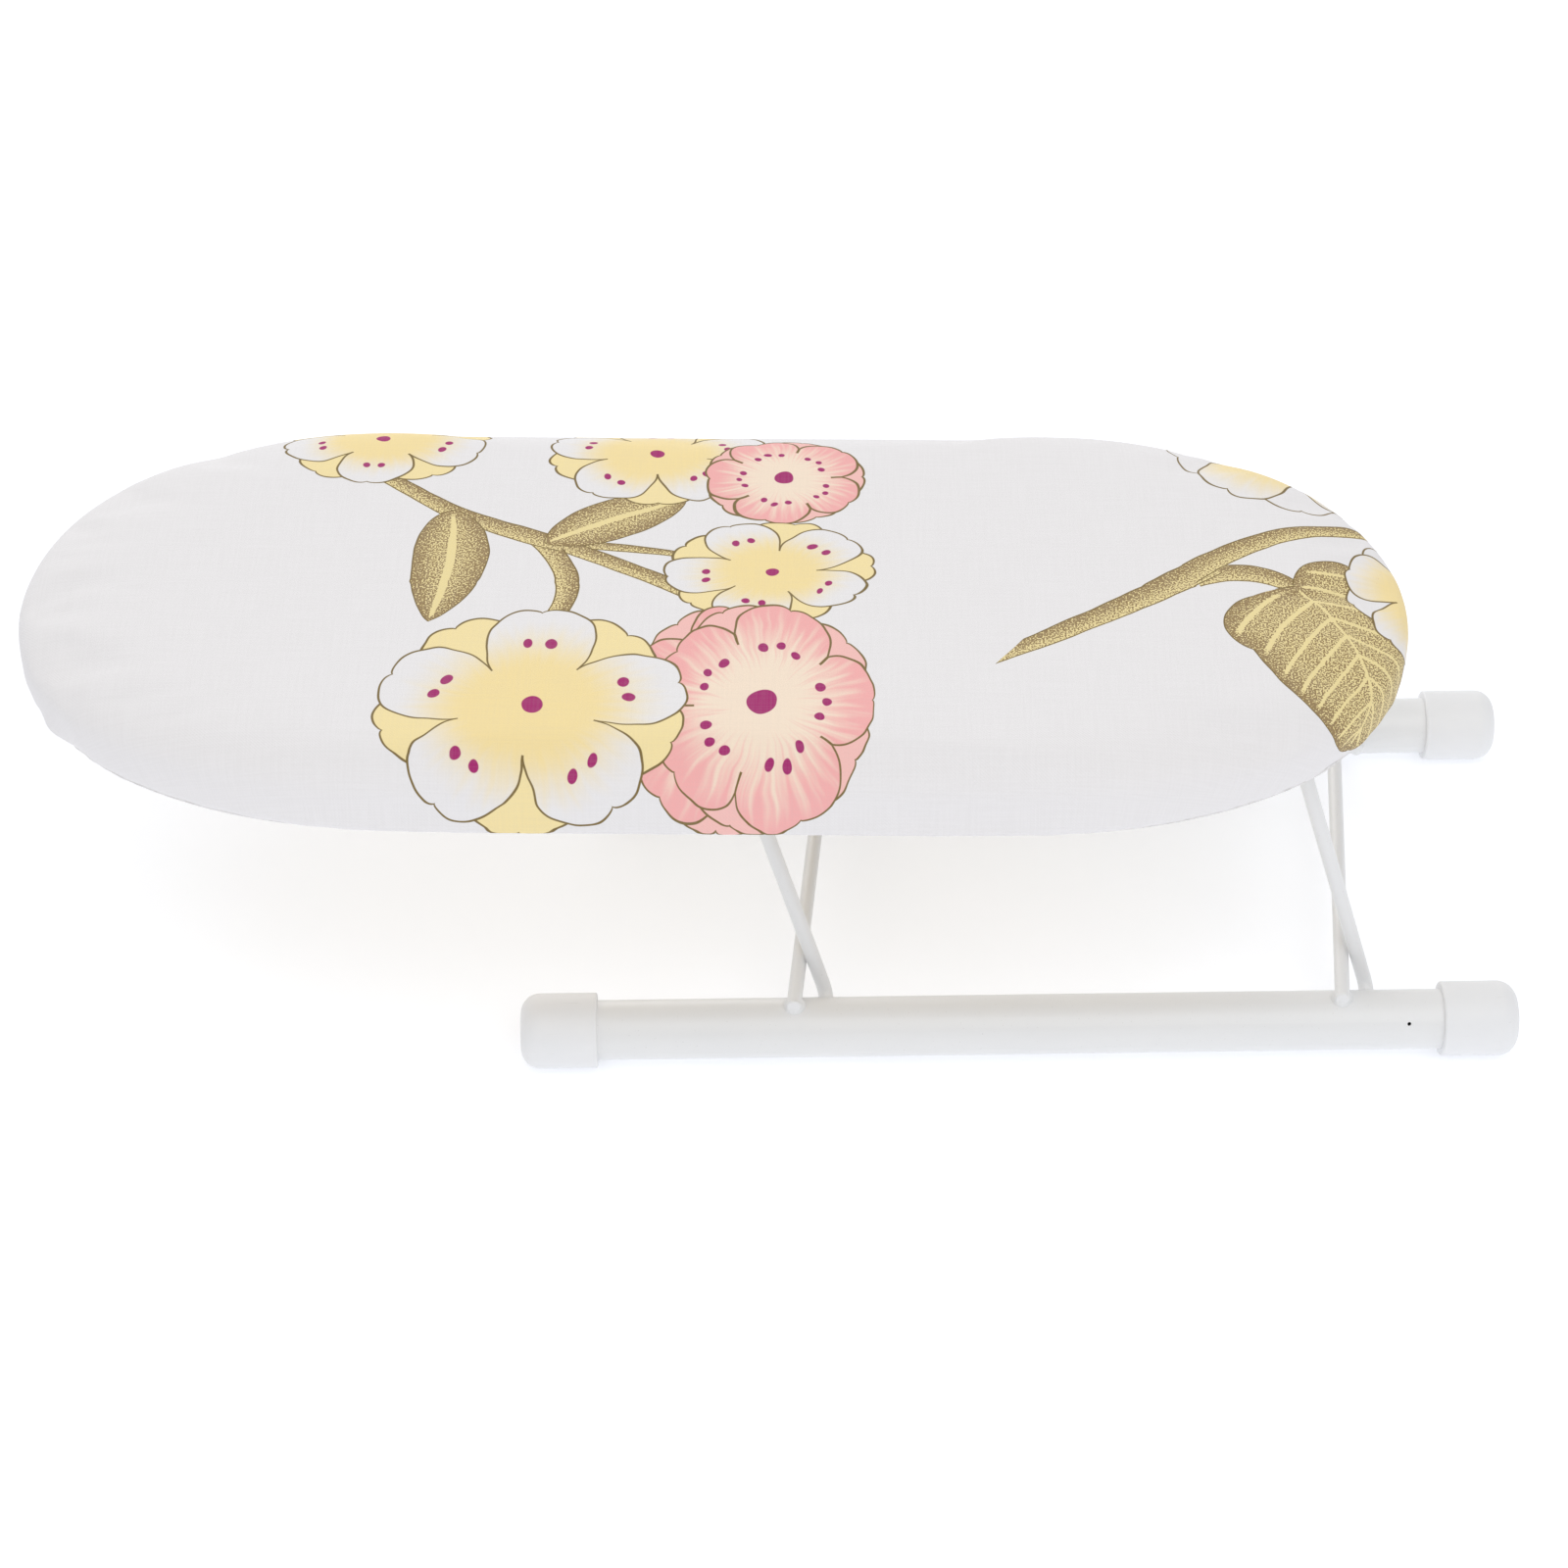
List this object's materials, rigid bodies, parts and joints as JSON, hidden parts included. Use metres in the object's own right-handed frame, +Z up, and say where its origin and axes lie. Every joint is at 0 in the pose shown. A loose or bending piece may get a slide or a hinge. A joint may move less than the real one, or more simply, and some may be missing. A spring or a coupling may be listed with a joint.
{
  "type": "sleeve ironing board",
  "caption": "Folding table-top sleeve ironing board: an oval padded board in a printed cover, on wire swing legs over capped foot tubes.",
  "frame": {"origin": "on the floor, under the middle of the whole opened object", "axes": "+X along the board, from its free end to the end over the legs; +Y from the front foot tube to the rear one; +Z up"},
  "size_m": [0.5608, 0.2214, 0.1512],
  "materials": {
    "coated_steel": "white powder coat, satin",
    "cap_plastic": "moulded white polyethylene, satin",
    "zinc_steel": "bright zinc plate",
    "panel_board": "bare hardboard",
    "pad_foam": "open-cell foam",
    "printed_cotton": "plain-weave cotton with a floral print",
    "hem_tape": "turned cotton hem, stitched",
    "elastic_band": "braided elastic"
  },
  "bodies": {
    "base": {"front_foot_tube": "coated_steel", "rear_foot_tube": "coated_steel", "front_left_end_cap": "cap_plastic", "front_right_end_cap": "cap_plastic", "rear_left_end_cap": "cap_plastic", "rear_right_end_cap": "cap_plastic", "left_cross_wire": "coated_steel", "right_cross_wire": "coated_steel", "weld_beads": "coated_steel"},
    "left_leg": {"left_swing_leg": "coated_steel"},
    "right_leg": {"right_swing_leg": "coated_steel"},
    "board": {"board_panel": "panel_board", "foam_pad": "pad_foam", "fabric_cover": "printed_cotton", "cover_hem": "hem_tape", "hem_elastic": "elastic_band", "left_front_clip": "zinc_steel", "left_rear_clip": "zinc_steel", "right_front_clip": "zinc_steel", "right_rear_clip": "zinc_steel", "left_clip_screws": "zinc_steel", "right_clip_screws": "zinc_steel"}
  },
  "joints": [
    {"name": "left_leg_fold", "type": "hinge", "parent": "base", "child": "left_leg", "pos_m": [0.01696, 0, 0.01375], "axis": [0.1062, 0.9943, 0], "range_deg": [0, 101.7]},
    {"name": "right_leg_fold", "type": "hinge", "parent": "base", "child": "right_leg", "pos_m": [0.21696, 0, 0.01375], "axis": [0.1062, 0.9943, 0], "range_deg": [0, 101.7]},
    {"name": "board_fold", "type": "hinge", "parent": "left_leg", "child": "board", "pos_m": [-0.01873, 0.00381, 0.12101], "axis": [0.1062, 0.9943, 0], "range_deg": [-101.7, 0]}
  ],
  "couplings": [
    {"joint": "right_leg_fold", "follows": "left_leg_fold", "ratio": 1},
    {"joint": "board_fold", "follows": "left_leg_fold", "ratio": -1}
  ]
}
